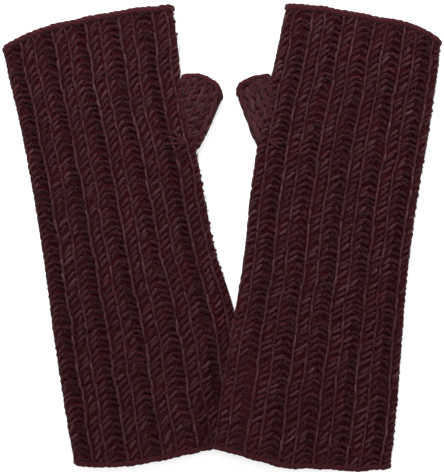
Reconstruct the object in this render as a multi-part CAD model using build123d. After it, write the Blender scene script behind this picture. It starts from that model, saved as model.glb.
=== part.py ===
from build123d import *
from math import pi, sin
import os

# A pair of hand-knitted ribbed fingerless gloves lying flat, side by side, the right
# glove's cuff corner resting on the left one's. Millimetres, +Z up, +Y towards the
# fingers, origin on the floor under the middle of the pair.

# Knitted fabric, laid flat as two layers with air between them
glove_height = 14.0
glove_wall = 3.6
thumb_height = 11.6
thumb_wall = 2.8
side_fall = 0.14        # share of the height that the fabric loses towards its side folds

# Cast-on and bind-off edges stand a little proud of the fabric they finish
edge_width = 4.0
edge_proud = 0.5

# Round of stitches picked up on the hand, which the thumb sleeve grows from
pickup_height = 12.4
pickup_wall = 3.4
pickup_depth = 7.0

# Gaps left where the fabric folds
fold_gap = 0.6
wrist_y = 40.0

# Where one cuff lies on the other, both are pressed to about half their height
pressed_top = 6.0
pressed_bottom = 7.4
press_margin = 5.0
press_slope = 10.0

# Stations across a glove, from cuff to fingers: left edge, right edge, width that is
# lain over by the other glove (None where the gloves are apart)
left_glove = [
    ((-85.2, -132.6), (19.6, -119.4), 24.5),
    ((-91.4, -95.8), (13.7, -81.4), 12.5),
    ((-97.2, -57.7), (7.8, -45.1), 0.8),
    ((-102.8, -15.1), (-4.4, -3.1), None),
    ((-109.6, 27.5), (-12.6, 40.2), None),
    ((-117.6, 68.4), (-22.9, 86.3), None),
    ((-122.9, 90.4), (-24.8, 110.6), None),
    ((-127.0, 110.4), (-28.4, 134.0), None),
]
right_glove = [
    ((-4.6, -122.8), (97.2, -134.5), 24.3),
    ((-0.3, -90.0), (100.7, -103.2), 15.4),
    ((7.6, -43.5), (104.2, -57.3), 0.8),
    ((12.8, -12.2), (106.8, -26.1), None),
    ((17.6, 33.3), (112.6, 19.4), None),
    ((24.4, 73.6), (119.6, 60.3), None),
    ((31.6, 105.3), (124.2, 92.6), None),
    ((37.4, 134.6), (127.0, 114.9), None),
]

# Stations across a thumb sleeve, from the hand outwards, each walked with the hand on
# the right
left_thumb = [
    ((-22.4, 90.4), (-12.4, 53.2), None),
    ((-20.2, 92.6), (-5.2, 66.6), None),
    ((-17.4, 94.2), (1.8, 81.6), None),
]
right_thumb = [
    ((19.4, 54.3), (28.2, 93.2), None),
    ((13.4, 68.2), (25.8, 93.8), None),
    ((7.6, 83.2), (22.4, 93.4), None),
]


def across(left, right, shift=0.0):
    """Upright plane along a station's line, moved that far to the line's right."""
    run = Vector(right[0] - left[0], right[1] - left[1])
    normal = Vector(run.Y, -run.X).normalized()
    return Plane(origin=Vector(*left) + normal * shift, x_dir=run, z_dir=normal)


def fade(share):
    """Smooth step from 0 to 1."""
    share = min(max(share, 0.0), 1.0)
    return share * share * (3 - 2 * share)


def section(station, height, fall=side_fall, inset=0.0, proud=0.0, over=False, shift=0.0):
    """Closed outline of the fabric at a station, or with an inset of the space inside it."""
    first, second, lap = station
    plane = across(first, second, shift)
    width = (Vector(*second) - Vector(*first)).length
    pressed_width = 0.0 if lap is None else lap + press_margin + press_slope
    shut = pressed_width if inset else 0.0
    low = inset - proud + (shut if over else 0.0)
    high = width - inset + proud - (0.0 if over else shut)

    def faces_at(s):
        """Heights of the two faces at a distance across."""
        share = min(max(s / width, 0.0), 1.0)
        top = height * (1 - fall + fall * sin(pi * share)) + proud
        bottom = 0.0 if inset else -0.4
        if lap is not None and not inset:
            reach = s if over else width - s
            pressed = fade((pressed_width - reach) / press_slope)
            if over:
                bottom += (pressed_bottom - bottom) * pressed
            else:
                top += (pressed_top - top) * pressed
        return bottom + inset, top - inset

    left_radius = (faces_at(low)[1] - faces_at(low)[0]) / 2
    right_radius = (faces_at(high)[1] - faces_at(high)[0]) / 2
    steps = 16
    run = high - low - left_radius - right_radius
    places = [low + left_radius + run * k / steps for k in range(steps + 1)]
    below = [plane.from_local_coords((s, faces_at(s)[0])) for s in places]
    above = [plane.from_local_coords((s, faces_at(s)[1])) for s in reversed(places)]
    right_fold = plane.from_local_coords((high, sum(faces_at(high)) / 2))
    left_fold = plane.from_local_coords((low, sum(faces_at(low)) / 2))
    return Wire([
        Spline(*below),
        ThreePointArc(below[-1], right_fold, above[0]),
        Spline(*above),
        ThreePointArc(above[-1], left_fold, below[0]),
    ])


def tube(stations, height, **options):
    """Solid lofted through a tube's stations."""
    return Solid.make_loft([section(station, height, **options) for station in stations], ruled=True)


def on_floor(solid):
    """A solid's part above the floor, with the flat face that it lies on."""
    return (solid & Pos(0, 0, 50) * Box(400, 400, 100)).solids()[0]


def keep_side(solid, plane):
    """A solid's part on the side of a plane that its normal points to."""
    return solid.split(plane, keep=Keep.TOP).solids().sort_by(SortBy.VOLUME)[-1]


def cut(solid, *tools):
    """A solid with others taken out of it, as the one solid that is left."""
    for tool in tools:
        solid = (solid - tool).solids().sort_by(SortBy.VOLUME)[-1]
    return solid


def glove(stations, over):
    """Knitted tube of one glove, as forearm, hand and the edges that finish them."""
    fabric = on_floor(tube(stations, glove_height, over=over))
    proud = on_floor(tube(stations, glove_height, proud=edge_proud, over=over))
    hollow = tube(stations, glove_height, inset=glove_wall, over=over)
    cuff_line = across(*stations[0][:2], -edge_width)
    hand_line = across(*stations[-1][:2], edge_width)
    below_wrist = Plane((0, wrist_y - fold_gap / 2, 0), x_dir=(1, 0, 0), z_dir=(0, -1, 0))
    above_wrist = Plane((0, wrist_y + fold_gap / 2, 0), x_dir=(1, 0, 0), z_dir=(0, 1, 0))
    return {
        "cuff_edge": cut(keep_side(proud, cuff_line), hollow),
        "forearm": cut(keep_side(keep_side(fabric, -cuff_line), below_wrist), hollow),
        "hand": cut(keep_side(keep_side(fabric, hand_line), above_wrist), hollow),
        "hand_edge": cut(keep_side(proud, -hand_line), hollow),
    }


def pickup_round(root):
    """Stitches picked up round the thumb opening, and the way through them."""
    solids = []
    for inset, ends in ((0.0, (0, pickup_depth)), (pickup_wall, (-2, pickup_depth + 6))):
        wires = [
            section(root, pickup_height, fall=0.0, inset=inset, shift=fold_gap + end)
            for end in ends
        ]
        solids.append(Solid.make_loft(wires, ruled=True))
    return on_floor(solids[0]), solids[1]


def thumb(stations):
    """Thumb sleeve and the edge that finishes it."""
    sleeve = on_floor(tube(stations, thumb_height))
    proud = on_floor(tube(stations, thumb_height, proud=edge_proud))
    hollow = tube(stations, thumb_height, inset=thumb_wall)
    line = across(*stations[-1][:2], edge_width)
    return {
        "thumb": cut(keep_side(sleeve, line), hollow),
        "thumb_edge": cut(keep_side(proud, -line), hollow),
    }


def build(side, stations, thumb_stations, over):
    """All the named pieces of one glove."""
    pieces = glove(stations, over)
    ring, passage = pickup_round(thumb_stations[0])
    pieces["hand"] = cut(pieces["hand"], ring, passage)
    pieces["thumb_pickup"] = cut(ring, passage)
    pieces.update(thumb(thumb_stations))
    return {f"{side}_{name}": solid for name, solid in pieces.items()}


gloves = build("left", left_glove, left_thumb, over=False)
gloves.update(build("right", right_glove, right_thumb, over=True))

os.makedirs("parts", exist_ok=True)
for name, solid in gloves.items():
    export_step(solid, f"parts/{name}.step")
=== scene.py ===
import math

import bpy
import numpy as np
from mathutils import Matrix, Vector


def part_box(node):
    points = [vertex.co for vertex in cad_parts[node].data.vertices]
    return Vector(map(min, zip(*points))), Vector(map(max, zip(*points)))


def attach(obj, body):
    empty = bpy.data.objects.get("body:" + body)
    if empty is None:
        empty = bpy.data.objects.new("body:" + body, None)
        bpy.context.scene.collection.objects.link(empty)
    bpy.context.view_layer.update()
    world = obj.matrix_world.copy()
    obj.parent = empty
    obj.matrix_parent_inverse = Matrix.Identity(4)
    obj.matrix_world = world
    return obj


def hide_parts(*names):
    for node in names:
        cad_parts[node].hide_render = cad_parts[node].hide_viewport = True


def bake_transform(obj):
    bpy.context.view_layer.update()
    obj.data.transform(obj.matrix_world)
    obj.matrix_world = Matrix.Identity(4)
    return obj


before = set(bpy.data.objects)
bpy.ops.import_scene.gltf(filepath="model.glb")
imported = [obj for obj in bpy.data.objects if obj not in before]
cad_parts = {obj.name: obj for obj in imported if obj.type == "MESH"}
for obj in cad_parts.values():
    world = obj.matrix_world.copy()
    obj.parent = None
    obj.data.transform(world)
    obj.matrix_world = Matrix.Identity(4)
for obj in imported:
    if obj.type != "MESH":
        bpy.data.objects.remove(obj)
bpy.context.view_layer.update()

# Looks of a pair of hand-knitted ribbed fingerless gloves. Each glove is a flattened tube
# that is knitted over with single strands of yarn: stitch legs on the ribs, purl bumps in
# the grooves, twisted cast-on and bind-off edges, and a plain-knit thumb sleeve.

MM = 0.001
ROW = 3.8 * MM          # height of one knitted row
RIBS = 11               # rib repeats round one glove
YARN = 1.02 * MM        # radius of a strand
SEAT = 2.1 * MM         # how far the strands stand out of the fabric's core
CORE_WALL = 1.3 * MM    # thickness of the core's shell
YARN_SLOT, CORE_SLOT = 0, 1
PLY_TURN = 5.2 * MM     # length of yarn in one turn of its plies

# Where one glove lies on the other, both are pressed to about half height
APART = -16             # stands for no overlap, in the stations' millimetres
PRESS_REACH = 14 * MM   # how far past the shared width the pressing fades out
PRESS_RAMP = 9 * MM
PRESSED_TOP = 4.5 * MM  # upper face of the lower glove there
RAISED_FLOOR = 8.9 * MM # lower face of the upper glove there
LEAST_HEIGHT = 1.5 * MM
MOUTH_REACH = 34 * MM   # how far from a mouth its bow is felt

# The same stations as the CAD tubes, from cuff to fingers: left edge, right edge, and the
# width that the other glove shares (None where the gloves are apart). Millimetres.
STATIONS = {
    "left": [
        ((-85.2, -132.6), (19.6, -119.4), 24.5),
        ((-91.4, -95.8), (13.7, -81.4), 12.5),
        ((-97.2, -57.7), (7.8, -45.1), 0.8),
        ((-102.8, -15.1), (-4.4, -3.1), None),
        ((-109.6, 27.5), (-12.6, 40.2), None),
        ((-117.6, 68.4), (-22.9, 86.3), None),
        ((-122.9, 90.4), (-24.8, 110.6), None),
        ((-127.0, 110.4), (-28.4, 134.0), None),
    ],
    "right": [
        ((-4.6, -122.8), (97.2, -134.5), 24.3),
        ((-0.3, -90.0), (100.7, -103.2), 15.4),
        ((7.6, -43.5), (104.2, -57.3), 0.8),
        ((12.8, -12.2), (106.8, -26.1), None),
        ((17.6, 33.3), (112.6, 19.4), None),
        ((24.4, 73.6), (119.6, 60.3), None),
        ((31.6, 105.3), (124.2, 92.6), None),
        ((37.4, 134.6), (127.0, 114.9), None),
    ],
}
# How far the mouths bow outward between their corners, left to right, in millimetres
BOWS = {
    "left": ((-0.6, 2.8, 3.0, 1.2, 0.8, -0.4), (-1.6, 3.0, 3.6, 3.0, 1.8, -0.8)),
    "right": ((-0.6, 2.4, 5.4, 3.6, 2.8, -0.8), (-0.6, 1.6, 2.2, 2.6, 3.0, -2.2)),
}
THUMB_BOWS = {
    "left": ((0, 0, 0, 0, 0, 0), (0.4, 3.1, 4.9, 4.8, 3.8, -1.8)),
    "right": ((0, 0, 0, 0, 0, 0), (-1.4, 2.6, 3.2, 2.7, 1.2, 0.2)),
}
THUMBS = {
    "left": [
        ((-26.0, 89.4), (-11.4, 53.0), None),
        ((-25.0, 91.0), (-4.8, 66.6), None),
        ((-23.6, 92.7), (2.0, 82.2), None),
    ],
    "right": [
        ((18.8, 54.3), (30.4, 91.4), None),
        ((13.0, 68.2), (29.4, 92.4), None),
        ((6.8, 84.5), (28.0, 93.2), None),
    ],
}


def seat(side):
    """How far the outline moves, in millimetres, to sit in the middle of the glove's CAD box."""
    outline = np.array([point for station in STATIONS[side] for point in station[:2]])
    nodes = ("cuff_edge", "forearm", "hand", "hand_edge")
    boxes = np.array([[corner[:2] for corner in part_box(f"{side}_{n}")] for n in nodes]) / MM
    box_middle = (boxes[:, 0].min(0) + boxes[:, 1].max(0)) / 2
    return box_middle - (outline.min(0) + outline.max(0)) / 2


def moved(stations, shift):
    return [(tuple(np.add(a, shift)), tuple(np.add(b, shift)), lap) for a, b, lap in stations]


def fade(share):
    share = np.clip(share, 0, 1)
    return share * share * (3 - 2 * share)


def through(values, at):
    """Smooth curve through evenly numbered values, read at fractional numbers."""
    values = np.asarray(values, float)
    i = np.clip(np.floor(at).astype(int), 0, len(values) - 2)
    t = at - i
    slopes = np.gradient(values, axis=0)
    if values.ndim > 1:
        t = t[..., None]
    a, b, da, db = values[i], values[i + 1], slopes[i], slopes[i + 1]
    return (
        (2 * t**3 - 3 * t**2 + 1) * a
        + (t**3 - 2 * t**2 + t) * da
        + (3 * t**2 - 2 * t**3) * b
        + (t**3 - t**2) * db
    )


def wander(at, seed, octaves=3):
    """Smooth value from -1 to 1 that wanders along a coordinate; one unit is one bend."""
    rng = np.random.default_rng(seed)
    total = 0
    for octave in range(octaves):
        phase, rate = rng.uniform(0, 2 * math.pi), (0.7 + 0.6 * rng.random()) * 1.9**octave
        total = total + np.sin(at * rate * 2 * math.pi + phase) / 1.7**octave
    return total / 2


class Tube:
    """Core surface of a flattened knitted tube. a runs once round it from the left fold
    over the upper face, v from the first station (0) to the last (1)."""

    def __init__(self, stations, top, dome, fold, inset, bows, seed,
                 over=None, count=(360, 440)):
        """top is the upper face's height at the folds and dome its rise between them; fold
        is the radius of the side folds and inset how far they keep inside the stations;
        over says whether this glove lies on the other (None: neither)."""
        first = np.array([s[0] for s in stations]) * MM
        second = np.array([s[1] for s in stations]) * MM
        laps = np.array([APART if s[2] is None else s[2] for s in stations]) * MM
        middle = (first + second) / 2
        steps = np.linalg.norm(np.diff(middle, axis=0), axis=1)
        self.length = steps.sum()
        known = np.concatenate([[0], np.cumsum(steps)]) / self.length
        self.nv, self.na = count
        v = np.linspace(0, 1, self.nv)
        number = np.interp(v, known, np.arange(len(stations)))
        left, right = through(first, number), through(second, number)
        lap = np.interp(number, np.arange(len(stations)), laps)[:, None]
        run = right - left
        width = np.linalg.norm(run, axis=1)[:, None]
        along = run / width
        a = np.arange(self.na)[None, :] / self.na
        flat = width - 2 * inset - 2 * fold
        girth = 2 * flat + 2 * math.pi * fold
        self.girth = girth[:, 0]
        quarter = math.pi * fold / 2
        s = a * girth
        s_right = s - quarter - flat
        s_back = s_right - 2 * quarter
        s_left = s_back - flat
        x = np.where(s < quarter, fold - fold * np.cos(s / fold), fold + s - quarter)
        side = np.where(s < quarter, np.sin(s / fold), 1.0)
        x = np.where(s_right > 0, fold + flat + fold * np.sin(s_right / fold), x)
        side = np.where(s_right > 0, np.cos(s_right / fold), side)
        x = np.where(s_back > 0, fold + flat - s_back, x)
        side = np.where(s_back > 0, -1.0, side)
        x = np.where(s_left > 0, fold - fold * np.sin(s_left / fold), x)
        side = np.where(s_left > 0, -np.cos(s_left / fold), side)
        x = x + inset
        share = np.clip(x / width, 0, 1)
        upper = top + dome * np.sin(math.pi * share) ** 0.8
        upper = upper + 0.35 * MM * wander(x / (46 * MM) + 2.1 * v[:, None], seed)
        lower = SEAT + 0 * x
        self.pressed = 0 * x
        if over is not None:
            reach = x if over else width - x
            self.pressed = fade((lap + PRESS_REACH - reach) / PRESS_RAMP)
            if over:
                lower = lower + (RAISED_FLOOR - lower) * self.pressed
                upper = np.maximum(upper, lower + LEAST_HEIGHT)
            else:
                upper = upper + (PRESSED_TOP - upper) * self.pressed
        z = (upper + lower) / 2 + side * (upper - lower) / 2
        plan = left[:, None, :] + along[:, None, :] * x[..., None]
        ahead = np.gradient((left + right) / 2, axis=0)
        ahead = ahead / np.linalg.norm(ahead, axis=1, keepdims=True)
        at = share * (len(bows[0]) - 1)
        near_end = fade(1 - (1 - v[:, None]) * self.length / MOUTH_REACH)
        near_start = fade(1 - v[:, None] * self.length / MOUTH_REACH)
        ripple = 0.35 * MM * wander(x / (21 * MM), seed + 3)
        push = (through(bows[1], at) * MM + ripple) * near_end
        push = push - (through(bows[0], at) * MM + ripple) * near_start
        self.fold = 1 - side**2
        self.under = np.clip(-side, 0, 1) + 0 * v[:, None]
        self.place = np.dstack([plan + ahead[:, None, :] * push[..., None], z])
        around = np.roll(self.place, -1, 1) - np.roll(self.place, 1, 1)
        up = np.gradient(self.place, axis=0)
        normal = np.cross(around, up)
        normal = normal / np.linalg.norm(normal, axis=2, keepdims=True)
        if normal[self.nv // 2, self.na // 4, 2] < 0:
            normal = -normal
        self.normal = normal

    def read(self, grid, a, v):
        fa = (a % 1) * self.na
        fv = np.clip(v, 0, 1) * (self.nv - 1)
        ia = np.floor(fa).astype(int) % self.na
        iv = np.minimum(np.floor(fv).astype(int), self.nv - 2)
        ta, tv = fa - np.floor(fa), fv - iv
        ja = (ia + 1) % self.na
        if grid.ndim > 2:
            ta, tv = ta[..., None], tv[..., None]
        low = grid[iv, ia] * (1 - ta) + grid[iv, ja] * ta
        high = grid[iv + 1, ia] * (1 - ta) + grid[iv + 1, ja] * ta
        return low * (1 - tv) + high * tv

    def at(self, a, v, h):
        """Points that stand h out of the core, and the core's normals there."""
        place, normal = self.read(self.place, a, v), self.read(self.normal, a, v)
        normal = normal / np.linalg.norm(normal, axis=-1, keepdims=True)
        past = (v - np.clip(v, 0, 1))[..., None] * self.length
        ahead = self.read(self.place, a, np.clip(v, 0.01, 1)) - self.read(
            self.place, a, np.clip(v, 0.01, 1) - 0.01
        )
        ahead = ahead / np.linalg.norm(ahead, axis=-1, keepdims=True)
        return place + normal * h[..., None] + ahead * past, normal


class Mesh:
    """Gathers vertices, faces and per-vertex values of one piece."""

    def __init__(self):
        self.points, self.faces, self.values, self.count = [], [], [], 0

    def add(self, points, faces, slot, shade, twist):
        """faces is a list of index arrays, each of faces with the same number of corners."""
        points = points.reshape(-1, 3)
        for block in faces:
            self.faces.append((block + self.count, slot))
        self.points.append(points)
        self.values.append(np.stack([np.broadcast_to(shade, len(points)),
                                     np.broadcast_to(twist, len(points))], 1))
        self.count += len(points)

    def object(self, name, materials):
        me = bpy.data.meshes.new(name)
        points = np.concatenate(self.points).astype(np.float32)
        me.vertices.add(len(points))
        me.vertices.foreach_set("co", points.ravel())
        loops = np.concatenate([f.ravel() for f, _ in self.faces]).astype(np.int32)
        sizes = np.concatenate([np.full(len(f), f.shape[1]) for f, _ in self.faces])
        sizes = sizes.astype(np.int32)
        slots = np.concatenate([np.full(len(f), s) for f, s in self.faces]).astype(np.int32)
        me.loops.add(len(loops))
        me.loops.foreach_set("vertex_index", loops)
        me.polygons.add(len(sizes))
        starts = np.concatenate([[0], np.cumsum(sizes)[:-1]]).astype(np.int32)
        me.polygons.foreach_set("loop_start", starts)
        me.polygons.foreach_set("material_index", slots)
        me.polygons.foreach_set("use_smooth", np.ones(len(sizes), bool))
        values = np.concatenate(self.values).astype(np.float32)
        for column, label in enumerate(("yarn_tone_and_painted_light", "yarn_twist")):
            attribute = me.attributes.new(label, "FLOAT", "POINT")
            attribute.data.foreach_set("value", values[:, column].copy())
        me.update(calc_edges=True)
        me.validate()
        for material in materials:
            me.materials.append(material)
        o = bpy.data.objects.new(name, me)
        bpy.context.scene.collection.objects.link(o)
        return o


def strands(mesh, centre, normal, radius, shade, sides=6, closed=False, taper=0.55):
    """Adds tubes of yarn. centre is strands x points x 3, radius and shade one per strand.
    Open strands narrow towards their ends, to taper times their thickness."""
    n, k, _ = centre.shape
    if closed:
        tangent = np.roll(centre, -1, 1) - np.roll(centre, 1, 1)
    else:
        tangent = np.gradient(centre, axis=1)
    tangent = tangent / (np.linalg.norm(tangent, axis=2, keepdims=True) + 1e-12)
    side = np.cross(tangent, normal)
    side = side / (np.linalg.norm(side, axis=2, keepdims=True) + 1e-12)
    out = np.cross(side, tangent)
    swell = np.ones(k)
    if not closed:
        t = np.linspace(-1, 1, k)
        swell = taper + (1 - taper) * np.sqrt(np.clip(1 - t**4, 0, 1))
    number = np.arange(n)[:, None]
    lump = 1 + 0.07 * np.sin(np.arange(n * k).reshape(n, k) * 2.3 + 3 * np.sin(number))
    r = radius[:, None] * swell[None, :] * lump
    angle = np.arange(sides) * 2 * math.pi / sides
    around = (
        np.cos(angle)[:, None] * side[:, :, None, :]
        + np.sin(angle)[:, None] * out[:, :, None, :]
    )
    ring = centre[:, :, None, :] + r[:, :, None, None] * around
    index = np.arange(n * k * sides).reshape(n, k, sides)
    if closed:
        low, high = index, np.roll(index, -1, 1)
    else:
        low, high = index[:, :-1], index[:, 1:]
    quads = np.stack([low, np.roll(low, -1, 2), np.roll(high, -1, 2), high], -1).reshape(-1, 4)
    faces = [quads]
    if not closed:
        faces += [index[:, 0, ::-1].reshape(-1, sides), index[:, -1].reshape(-1, sides)]
    length = np.linalg.norm(np.diff(centre, axis=1), axis=2)
    length = np.concatenate([np.zeros((n, 1)), np.cumsum(length, 1)], 1)
    twist = (length / PLY_TURN)[:, :, None] + (np.arange(sides) / sides)[None, None, :]
    tone = np.broadcast_to(shade.reshape(n, -1)[:, :1, None], (n, k, sides))
    mesh.add(ring, faces, YARN_SLOT, tone.ravel(), twist.ravel())


def relief(f):
    """Height of the core over a rib repeat: ribs up, groove down."""
    groove = np.exp(-(((f - 0.86 + 0.5) % 1 - 0.5) / 0.13) ** 2)
    return -2.4 * MM * groove


# One rib repeat, as strands that each row repeats: points of (share of the repeat, rows up,
# millimetres out of the core), the strand's thickness and its brightness. The brightness is painted
# light:
# above 1 a painted highlight on the raised lines and legs, 0.72 painted shade on the groove's
# strand
RIB_STRANDS = [
    (((0.000, -0.66, -0.2), (0.004, -0.30, 0.75), (-0.004, 0.10, 0.95), (0.000, 0.45, 0.75),
      (0.004, 0.75, -0.1)), 0.62, 1.42),
    (((0.405, -0.66, -0.3), (0.409, -0.30, 0.60), (0.401, 0.10, 0.80), (0.405, 0.45, 0.60),
      (0.409, 0.75, -0.2)), 0.58, 1.30),
    (((0.095, -0.58, -0.9), (0.150, -0.36, 0.05), (0.220, 0.00, 0.95), (0.282, 0.32, 1.00),
      (0.318, 0.50, -0.4)), 0.86, 1.14),
    (((0.470, -0.54, -0.9), (0.512, -0.33, 0.05), (0.574, 0.00, 0.95), (0.628, 0.29, 0.85),
      (0.664, 0.47, -0.5)), 0.84, 1.12),
    (((0.650, -0.04, -1.4), (0.705, 0.22, -0.80), (0.785, 0.30, -1.10), (0.870, 0.08, -1.25),
      (0.955, -0.24, -1.3)), 0.86, 0.72),
]

LINES, GROOVE = 2, 4    # the first two strands are the lines, pale by painted highlight; the fifth the groove's, dark by painted shade


def knit(tube, pattern, repeats, phase, seed, margins=(1.0, 3.2), ring_count=8, loose=1.0):
    """Strand centres, normals, thickness and shade of knitted rows of the pattern. margins
    are the millimetres left free at the two mouths, loose is how uneven the stitches are."""
    rng = np.random.default_rng(seed)
    rows = int(round((tube.length - sum(margins) * MM) / ROW))
    pitch = (tube.length - sum(margins) * MM) / rows
    made = []
    row = (np.arange(rows) + 0.5)[:, None]
    column = np.arange(repeats)[None, :]
    near_mouth = np.clip((np.minimum(row, rows - row) - 0.5) / 3.5, 0, 1) + 0 * column
    for number, (points, thick, bright) in enumerate(pattern):
        points = np.array(points)
        at = np.linspace(0, len(points) - 1, ring_count)
        f, up, out = (through(points[:, i], at) for i in range(3))
        jitter = rng.normal(0, 1, (7, rows, repeats))
        steady = 0.35 if number < LINES else 1.0
        sway = np.stack([wander(row[:, 0] / 13, seed + 50 + 7 * r, 3) for r in range(repeats)], 1)
        shift = 0.036 * sway + 0.020 * steady * loose * jitter[0]
        lean = 0.024 * steady * loose * jitter[1]
        size = 1 + 0.15 * steady * loose * jitter[2]
        turn = lean[..., None] * np.linspace(-1, 1, ring_count)
        a = ((column + phase + shift)[..., None] + f + turn) / repeats
        v = (row + 0.14 * loose * jitter[3])[..., None] + up * size[..., None]
        v = (v * pitch + margins[0] * MM) / tube.length
        press = tube.read(tube.pressed, a, v)
        under = tube.read(tube.under, a, v)
        h = out * MM * (1 - 0.55 * press) * (1 - 0.3 * under)
        h = h * (0.55 + 0.45 * near_mouth)[..., None]
        h = h + 0.18 * MM * loose * (1 - under) * jitter[4][..., None]
        fold = tube.read(tube.fold, a, v)
        h = h * (1 - 0.55 * fold) - (1.3 if number == GROOVE else 0.85) * MM * fold
        radius = thick * YARN * (1 + 0.09 * loose * jitter[5])
        # Within a few rows of the mouths the strands are up to 6% darker: painted shade beside the
        # edges
        shade = bright * np.exp(0.19 * jitter[6]) * (0.94 + 0.06 * near_mouth)
        if number == GROOVE:
            shade = shade * rng.uniform(0.72, 1.2, (1, repeats))
        centre, normal = tube.at(a, v, h)
        made.append((centre.reshape(-1, ring_count, 3), normal.reshape(-1, ring_count, 3),
                     radius.ravel(), shade.ravel()))
    return made


# One column of plain knitting, for the thumb; its brightness is painted light: the rising leg a
# painted highlight above 1, the other leg a little painted shade below 1
PLAIN_STRANDS = [
    (((0.06, 0.62, -0.6), (0.12, 0.35, 0.20), (0.22, 0.00, 0.45), (0.34, -0.35, 0.20),
      (0.42, -0.60, -0.6)), 0.86, 0.95),
    (((0.50, -0.62, -0.6), (0.58, -0.35, 0.25), (0.70, 0.00, 0.60), (0.84, 0.35, 0.35),
      (0.92, 0.60, -0.6)), 0.94, 1.08),
]


def core(mesh, tube, phase, rows_from, rows_to, ribbed=True, across_count=176):
    """Adds the closed shell that the strands lie on, between two shares of the tube; its slot takes
    the darker core wool, painted shade in the gaps between strands.
    """
    steps = max(3, int((rows_to - rows_from) * tube.length / (2.6 * MM)))
    v = np.linspace(rows_from, rows_to, steps)[:, None] + np.zeros(across_count)
    a = np.arange(across_count)[None, :] / across_count + np.zeros((steps, 1))
    lift = relief((a * RIBS - phase) % 1) if ribbed else 0 * a
    lift = lift * (1 - 0.7 * tube.read(tube.pressed, a, v))
    lift = lift * np.clip(np.minimum(v, 1 - v) * tube.length / (9 * MM), 0, 1)
    outer, _ = tube.at(a, v, lift - 0.1 * MM)
    inner, _ = tube.at(a, v, 0.4 * lift - CORE_WALL)
    points = np.concatenate([outer, inner[::-1]])
    rows = 2 * steps
    index = np.arange(rows * across_count).reshape(rows, across_count)
    following = np.roll(index, -1, 0)
    quads = np.stack([index, np.roll(index, -1, 1), np.roll(following, -1, 1), following], -1)
    mesh.add(points, [quads.reshape(-1, 4)], CORE_SLOT, 1.0, 0.0)


def rope(mesh, tube, at_end, drop, thick, seed, plies=3, pitch=11 * MM, spread=0.62 * MM):
    """Adds the twisted edge that closes the tube's mouth, drop inside the tube's end."""
    girth = tube.girth[-1 if at_end else 0]
    count = int(girth / (0.8 * MM))
    a = np.arange(count)[None, :] / count + np.zeros((plies, 1))
    turns = max(1, round(girth / pitch))
    angle = 2 * math.pi * (a * turns + np.arange(plies)[:, None] / plies)
    angle = angle + 0.5 * wander(a * 11, seed)
    loose = 1 + 0.25 * wander(a * 17, seed + 1)
    offset = (-drop + 1.25 * spread * loose * np.cos(angle)) / tube.length
    v = (1 + offset) if at_end else -offset
    turned = tube.read(tube.fold, a, v)
    lift = 0.25 - 1.1 * turned - 0.35 * tube.read(tube.under, a, v)
    centre, normal = tube.at(a, v, lift * MM + spread * loose * np.sin(angle))
    strands(mesh, centre, normal, np.full(plies, thick), np.ones(plies), closed=True)


def fuzz(mesh, tube, count, span, seed):
    """Adds the loose fibres that stand off the yarn, between two shares of the tube, with
    brightness above 1 as a painted highlight.
    """
    rng = np.random.default_rng(seed)
    a, v = rng.random(count)[:, None], rng.uniform(*span, count)[:, None]
    reach = rng.uniform(2.0, 5.5, count)[:, None] * MM
    way = rng.uniform(0, 2 * math.pi, count)[:, None]
    way = way + rng.normal(0, 0.5, (count, 1)) * np.linspace(-1, 1, 4)
    t = np.linspace(0, 1, 4)
    a = a + reach * t * np.cos(way) / tube.girth.mean()
    v = np.clip(v + reach * t * np.sin(way) / tube.length, 0.004, 0.996)
    under, fold, press = (tube.read(grid, a, v) for grid in (tube.under, tube.fold, tube.pressed))
    h = (0.5 + rng.uniform(0.9, 1.6, (count, 1)) * np.sin(math.pi * (0.12 + 0.8 * t))) * MM
    h = h * (1 - 0.45 * under) * (1 - 0.55 * press) * (1 - 0.5 * fold) - 0.65 * MM * fold
    centre, normal = tube.at(a, v, h)
    radius = rng.uniform(0.05, 0.09, count) * MM
    # Brightness 1.2 to 2.0: painted highlight on the fibres
    strands(mesh, centre, normal, radius, rng.uniform(1.2, 2.0, count), sides=3)


def darning(mesh, spot, reach, seed, height):
    """Adds the few short strands that gather at the foot of the thumb."""
    rng = np.random.default_rng(seed)
    t = np.linspace(0, 1, 8)
    lines = []
    for turn in (-0.40, -0.05, 0.30):
        c, s = math.cos(turn), math.sin(turn)
        out = np.array([reach[0] * c - reach[1] * s, reach[0] * s + reach[1] * c])
        out = out * (0.85 + 0.3 * rng.random())
        plan = np.array(spot) + out * t[:, None]
        lift = height + 0.9 * np.sin(math.pi * t) - 1.6 * (t > 0.95) - 0.8 * (t < 0.05)
        lines.append(np.column_stack([plan, lift]) * MM)
    centre = np.array(lines)
    normal = np.zeros_like(centre)
    normal[..., 2] = 1
    # Brightness 1.1 is a slight painted highlight
    strands(mesh, centre, normal, np.full(len(lines), 0.72 * MM), np.full(len(lines), 1.1))


# --- materials ---------------------------------------------------------------------------


def node(tree, kind, **settings):
    n = tree.nodes.new(kind)
    for key, value in settings.items():
        if key in ("operation", "data_type", "attribute_name"):
            setattr(n, key, value)
        else:
            n.inputs[key].default_value = value
    return n


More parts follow.
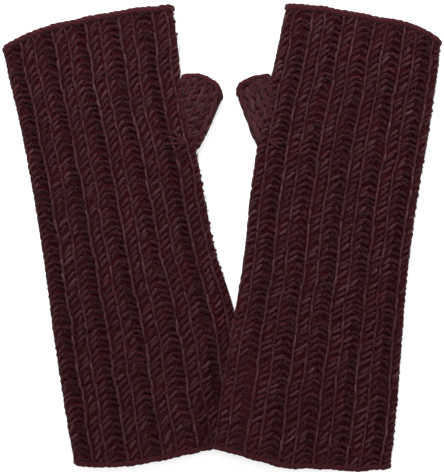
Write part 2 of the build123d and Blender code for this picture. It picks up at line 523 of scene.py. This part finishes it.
def yarn_material(name, dark, light, warm, sheen, bump=0.5):
    """Matt, slightly hairy wool: two colours mottled together, times the strand's own brightness up
    to 1 (random tone and painted shade), plus grey for brightness above 1 as a painted highlight,
    with the plies' twist and loose fibres as fine relief."""
    m = bpy.data.materials.new(name)
    m.use_nodes = True
    t = m.node_tree
    t.nodes.clear()
    link = t.links.new
    out = t.nodes.new("ShaderNodeOutputMaterial")
    p = node(t, "ShaderNodeBsdfPrincipled", Roughness=0.82)
    p.inputs["Specular IOR Level"].default_value = 0.05
    p.inputs["Sheen Weight"].default_value = sheen
    p.inputs["Sheen Roughness"].default_value = 0.45
    p.inputs["Sheen Tint"].default_value = (0.85, 0.70, 0.70, 1)
    link(p.outputs[0], out.inputs[0])
    place = t.nodes.new("ShaderNodeTexCoord")
    broad = node(t, "ShaderNodeTexNoise", Scale=70.0, Detail=3.0, Roughness=0.6)
    fine = node(t, "ShaderNodeTexNoise", Scale=1400.0, Detail=3.0, Roughness=0.65)
    link(place.outputs["Object"], broad.inputs["Vector"])
    link(place.outputs["Object"], fine.inputs["Vector"])
    mottle = node(t, "ShaderNodeMix", data_type="RGBA")
    mottle.inputs[6].default_value = (*dark, 1)
    mottle.inputs[7].default_value = (*light, 1)
    link(fine.outputs["Fac"], mottle.inputs[0])
    spread = node(t, "ShaderNodeMapRange")
    spread.inputs["From Min"].default_value = 0.52
    spread.inputs["From Max"].default_value = 0.74
    spread.inputs["To Max"].default_value = 0.65
    link(broad.outputs["Fac"], spread.inputs["Value"])
    tint = node(t, "ShaderNodeMix", data_type="RGBA")
    tint.inputs[7].default_value = (*warm, 1)
    link(spread.outputs[0], tint.inputs[0])
    link(mottle.outputs[2], tint.inputs[6])
    shade = node(t, "ShaderNodeAttribute", attribute_name="yarn_tone_and_painted_light")
    tone_and_painted_shade = node(t, "ShaderNodeMath", operation="MINIMUM")
    tone_and_painted_shade.inputs[1].default_value = 1.0
    link(shade.outputs["Fac"], tone_and_painted_shade.inputs[0])
    painted_highlight_amount = node(t, "ShaderNodeMath", operation="SUBTRACT")
    link(shade.outputs["Fac"], painted_highlight_amount.inputs[0])
    link(tone_and_painted_shade.outputs[0], painted_highlight_amount.inputs[1])
    scaled = node(t, "ShaderNodeVectorMath", operation="SCALE")
    link(tint.outputs[2], scaled.inputs[0])
    link(tone_and_painted_shade.outputs[0], scaled.inputs["Scale"])
    # Painted highlight: brightness above 1 adds this grey to the strand's colour
    painted_highlight = node(t, "ShaderNodeVectorMath", operation="SCALE")
    painted_highlight.inputs[0].default_value = (0.026, 0.0165, 0.0175)
    link(painted_highlight_amount.outputs[0], painted_highlight.inputs["Scale"])
    colour = node(t, "ShaderNodeVectorMath", operation="ADD")
    link(scaled.outputs[0], colour.inputs[0])
    link(painted_highlight.outputs[0], colour.inputs[1])
    link(colour.outputs[0], p.inputs["Base Color"])
    twist = node(t, "ShaderNodeAttribute", attribute_name="yarn_twist")
    turn = node(t, "ShaderNodeMath", operation="MULTIPLY")
    turn.inputs[1].default_value = 4 * math.pi
    link(twist.outputs["Fac"], turn.inputs[0])
    wave = node(t, "ShaderNodeMath", operation="SINE")
    link(turn.outputs[0], wave.inputs[0])
    height = node(t, "ShaderNodeMath", operation="MULTIPLY_ADD")
    height.inputs[1].default_value = 0.35
    link(wave.outputs[0], height.inputs[0])
    link(fine.outputs["Fac"], height.inputs[2])
    b = node(t, "ShaderNodeBump", Strength=bump, Distance=0.0004)
    link(height.outputs[0], b.inputs["Height"])
    link(b.outputs[0], p.inputs["Normal"])
    rough = node(t, "ShaderNodeMapRange")
    rough.inputs["To Min"].default_value = 0.72
    rough.inputs["To Max"].default_value = 0.95
    link(fine.outputs["Fac"], rough.inputs["Value"])
    link(rough.outputs[0], p.inputs["Roughness"])
    return m


wool = yarn_material(
    "wool_burgundy", (0.0228, 0.0027, 0.0042), (0.0350, 0.0063, 0.0090), (0.043, 0.0042, 0.0065),
    sheen=0.09)
# Darker copy of the wool for the core shell that shows between the strands: painted shade
core_painted_shade = yarn_material(
    "wool_core_painted_shade", (0.0160, 0.0011, 0.0020), (0.0225, 0.0021, 0.0034), (0.025, 0.0015, 0.0028),
    sheen=0.02)
# Lighter copy of the wool for the bind-off edges at the mouths: painted highlight
edge = yarn_material(
    "wool_edge_painted_highlight", (0.026, 0.0036, 0.0050), (0.041, 0.0074, 0.0096), (0.054, 0.0055, 0.0078),
    sheen=0.17)
# Lighter copy of the wool for the thumbs: painted light
thumb_wool_painted_light = yarn_material(
    "wool_thumb_painted_light", (0.028, 0.0036, 0.0052), (0.042, 0.0080, 0.0110), (0.048, 0.0055, 0.0084),
    sheen=0.15)

# --- gloves ------------------------------------------------------------------------------

PIECE_SPLITS = (-0.052, 0.031)            # where one glove is parted into pieces, along Y
# distance of one rib's first line from the middle of the upper face, halfway along
LINE_AT = {"left": -1.0 * MM, "right": 5.8 * MM}
GATHERS = {
    "left": ((-19.8, 53.2), (-12.5, 3.5)),
    "right": ((26.4, 54.8), (8.5, -1.4)),
}


def pick(made, chosen):
    """The strands whose middles chosen() accepts."""
    kept = []
    for centre, normal, radius, shade in made:
        yes = chosen(centre.mean(1))
        kept.append((centre[yes], normal[yes], radius[yes], shade[yes]))
    return kept


def knitted_piece(name, tube, made, span, phase, ribbed=True):
    """One piece: its strands on the core between two shares of the tube."""
    mesh = Mesh()
    for centre, normal, radius, shade in made:
        strands(mesh, centre, normal, radius, shade)
    area = tube.girth.mean() * tube.length * (span[1] - span[0])
    fibres = int(area / (4.6 * MM) ** 2 * 2.6)
    fuzz(mesh, tube, fibres, span, len(name) + int(1000 * span[0]))
    core(mesh, tube, phase, *span, ribbed=ribbed, across_count=176 if ribbed else 84)
    return mesh


def glove(side, seed):
    over = side == "right"
    forearm_body, hand_body = f"{side}_forearm_body", f"{side}_hand_body"
    tube = Tube(moved(STATIONS[side], seat(side)), top=9.2 * MM, dome=2.4 * MM,
                fold=4.2 * MM, inset=-0.15 * MM, bows=BOWS[side], seed=seed, over=over)
    phase = (0.25 + LINE_AT[side] / tube.girth[tube.nv // 2]) * RIBS % 1
    made = knit(tube, RIB_STRANDS, RIBS, phase, seed)
    middle_y = tube.place[:, tube.na // 4, 1]
    low, wrist = (np.interp(y, middle_y, np.linspace(0, 1, tube.nv)) for y in PIECE_SPLITS)
    parts = (
        ("lower_forearm_knit", lambda p: p[:, 1] < PIECE_SPLITS[0], (0.002, low), "forearm"),
        ("upper_forearm_knit", lambda p: (p[:, 1] >= PIECE_SPLITS[0]) & (p[:, 1] < PIECE_SPLITS[1]),
         (low, wrist), "forearm"),
        ("hand_knit", lambda p: p[:, 1] >= PIECE_SPLITS[1], (wrist, 0.998), "hand"),
    )
    for name, chosen, span, replaced in parts:
        mesh = knitted_piece(name, tube, pick(made, chosen), span, phase)
        if replaced == "hand":
            darning(mesh, *GATHERS[side], seed, 11.2)
        o = mesh.object(f"{side}_{name}", [wool, core_painted_shade])
        if replaced == "hand":
            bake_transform(o)
        else:
            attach(o, forearm_body)
        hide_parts(f"{side}_{replaced}")
    for name, at_end, node_name, body in (
        ("cast_on_edge", False, "cuff_edge", forearm_body),
        ("bind_off_edge", True, "hand_edge", hand_body),
    ):
        mesh = Mesh()
        if at_end:
            rope(mesh, tube, at_end, 1.5 * MM, 1.22 * MM, seed + 5)
        else:
            rope(mesh, tube, at_end, 1.1 * MM, 1.0 * MM, seed + 5, spread=0.5 * MM)
        o = mesh.object(f"{side}_{name}", [edge if at_end else wool])
        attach(o, body)
        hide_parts(f"{side}_{node_name}")


def thumb(side, seed):
    hand_body, thumb_body = f"{side}_hand_body", f"{side}_thumb_body"
    root, *rest = moved(THUMBS[side], seat(side))
    root_line = np.array(root[1]) - np.array(root[0])
    inward = (np.array(root[0]) + root[1] - np.array(rest[-1][0]) - rest[-1][1]) / 2
    inward = 8.0 * inward / np.linalg.norm(inward)
    sunk = [tuple(np.array(root[i]) + inward + (0.06 - 0.12 * i) * root_line) for i in (0, 1)]
    tube = Tube([(*sunk, None), root, *rest], top=7.7 * MM, dome=1.3 * MM, fold=3.4 * MM,
                inset=0.7 * MM, bows=THUMB_BOWS[side], seed=seed, count=(120, 240))
    made = knit(tube, PLAIN_STRANDS, 13, 0.3, seed, margins=(0.5, 3.0), loose=1.3)
    mesh = knitted_piece("thumb_knit", tube, made, (0.01, 0.965), 0.0, ribbed=False)
    o = mesh.object(f"{side}_thumb_knit", [thumb_wool_painted_light, core_painted_shade])
    across = np.array([root_line[1], -root_line[0]]) / np.linalg.norm(root_line)
    if across @ inward > 0:
        across = -across
    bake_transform(o)
    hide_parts(f"{side}_thumb", f"{side}_thumb_pickup")
    mesh = Mesh()
    rope(mesh, tube, True, 1.4 * MM, 1.0 * MM, seed + 5, pitch=8.0 * MM, spread=0.50 * MM)
    o = mesh.object(f"{side}_thumb_bind_off_edge", [edge])
    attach(o, thumb_body)
    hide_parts(f"{side}_thumb_edge")


for side, seed in (("left", 11), ("right", 29)):
    glove(side, seed)
    thumb(side, seed + 100)

# --- stage -------------------------------------------------------------------------------

floor_mesh = bpy.data.meshes.new("floor")
floor_mesh.from_pydata([(-3, -3, 0), (3, -3, 0), (3, 3, 0), (-3, 3, 0)], [], [(0, 1, 2, 3)])
floor = bpy.data.objects.new("floor", floor_mesh)
bpy.context.scene.collection.objects.link(floor)
paper = bpy.data.materials.new("floor_paper")
paper.use_nodes = True
paper_node = paper.node_tree.nodes["Principled BSDF"]
paper_node.inputs["Base Color"].default_value = (0.74, 0.74, 0.74, 1)
paper_node.inputs["Emission Color"].default_value = (1, 1, 1, 1)
paper_node.inputs["Emission Strength"].default_value = 0.42
paper_node.inputs["Roughness"].default_value = 0.9
floor_mesh.materials.append(paper)

scene = bpy.context.scene
scene.view_settings.view_transform = "Standard"
world = bpy.data.worlds.new("studio")
world.use_nodes = True
world.node_tree.nodes["Background"].inputs[0].default_value = (1, 1, 1, 1)
world.node_tree.nodes["Background"].inputs[1].default_value = 0.94
scene.world = world


def lamp(name, place, size, power):
    light = bpy.data.lights.new(name, "AREA")
    light.shape = "RECTANGLE"
    light.size, light.size_y = size
    light.energy = power
    o = bpy.data.objects.new(name, light)
    scene.collection.objects.link(o)
    o.location = place
    aim = np.array([0, 0, 0]) - np.array(place)
    o.rotation_mode = "QUATERNION"
    o.rotation_quaternion = Vector(aim).to_track_quat("-Z", "Y")


lamp("key_light", (-0.10, 0.50, 0.52), (0.40, 0.30), 6.0)
lamp("fill_light", (0.5, 0.3, 1.0), (0.8, 0.8), 2)

camera_data = bpy.data.cameras.new("camera")
camera = bpy.data.objects.new("camera", camera_data)
scene.collection.objects.link(camera)
camera_data.lens = 90
camera_data.sensor_width = 36
HALF_VIEW = 0.1362      # half the height that the picture takes in, at the gloves' height
GLOVE_MIDDLE = 0.008
camera.location = (0, 0, GLOVE_MIDDLE + HALF_VIEW * camera_data.lens / 18)
camera.rotation_euler = (0, 0, 0)
scene.camera = camera
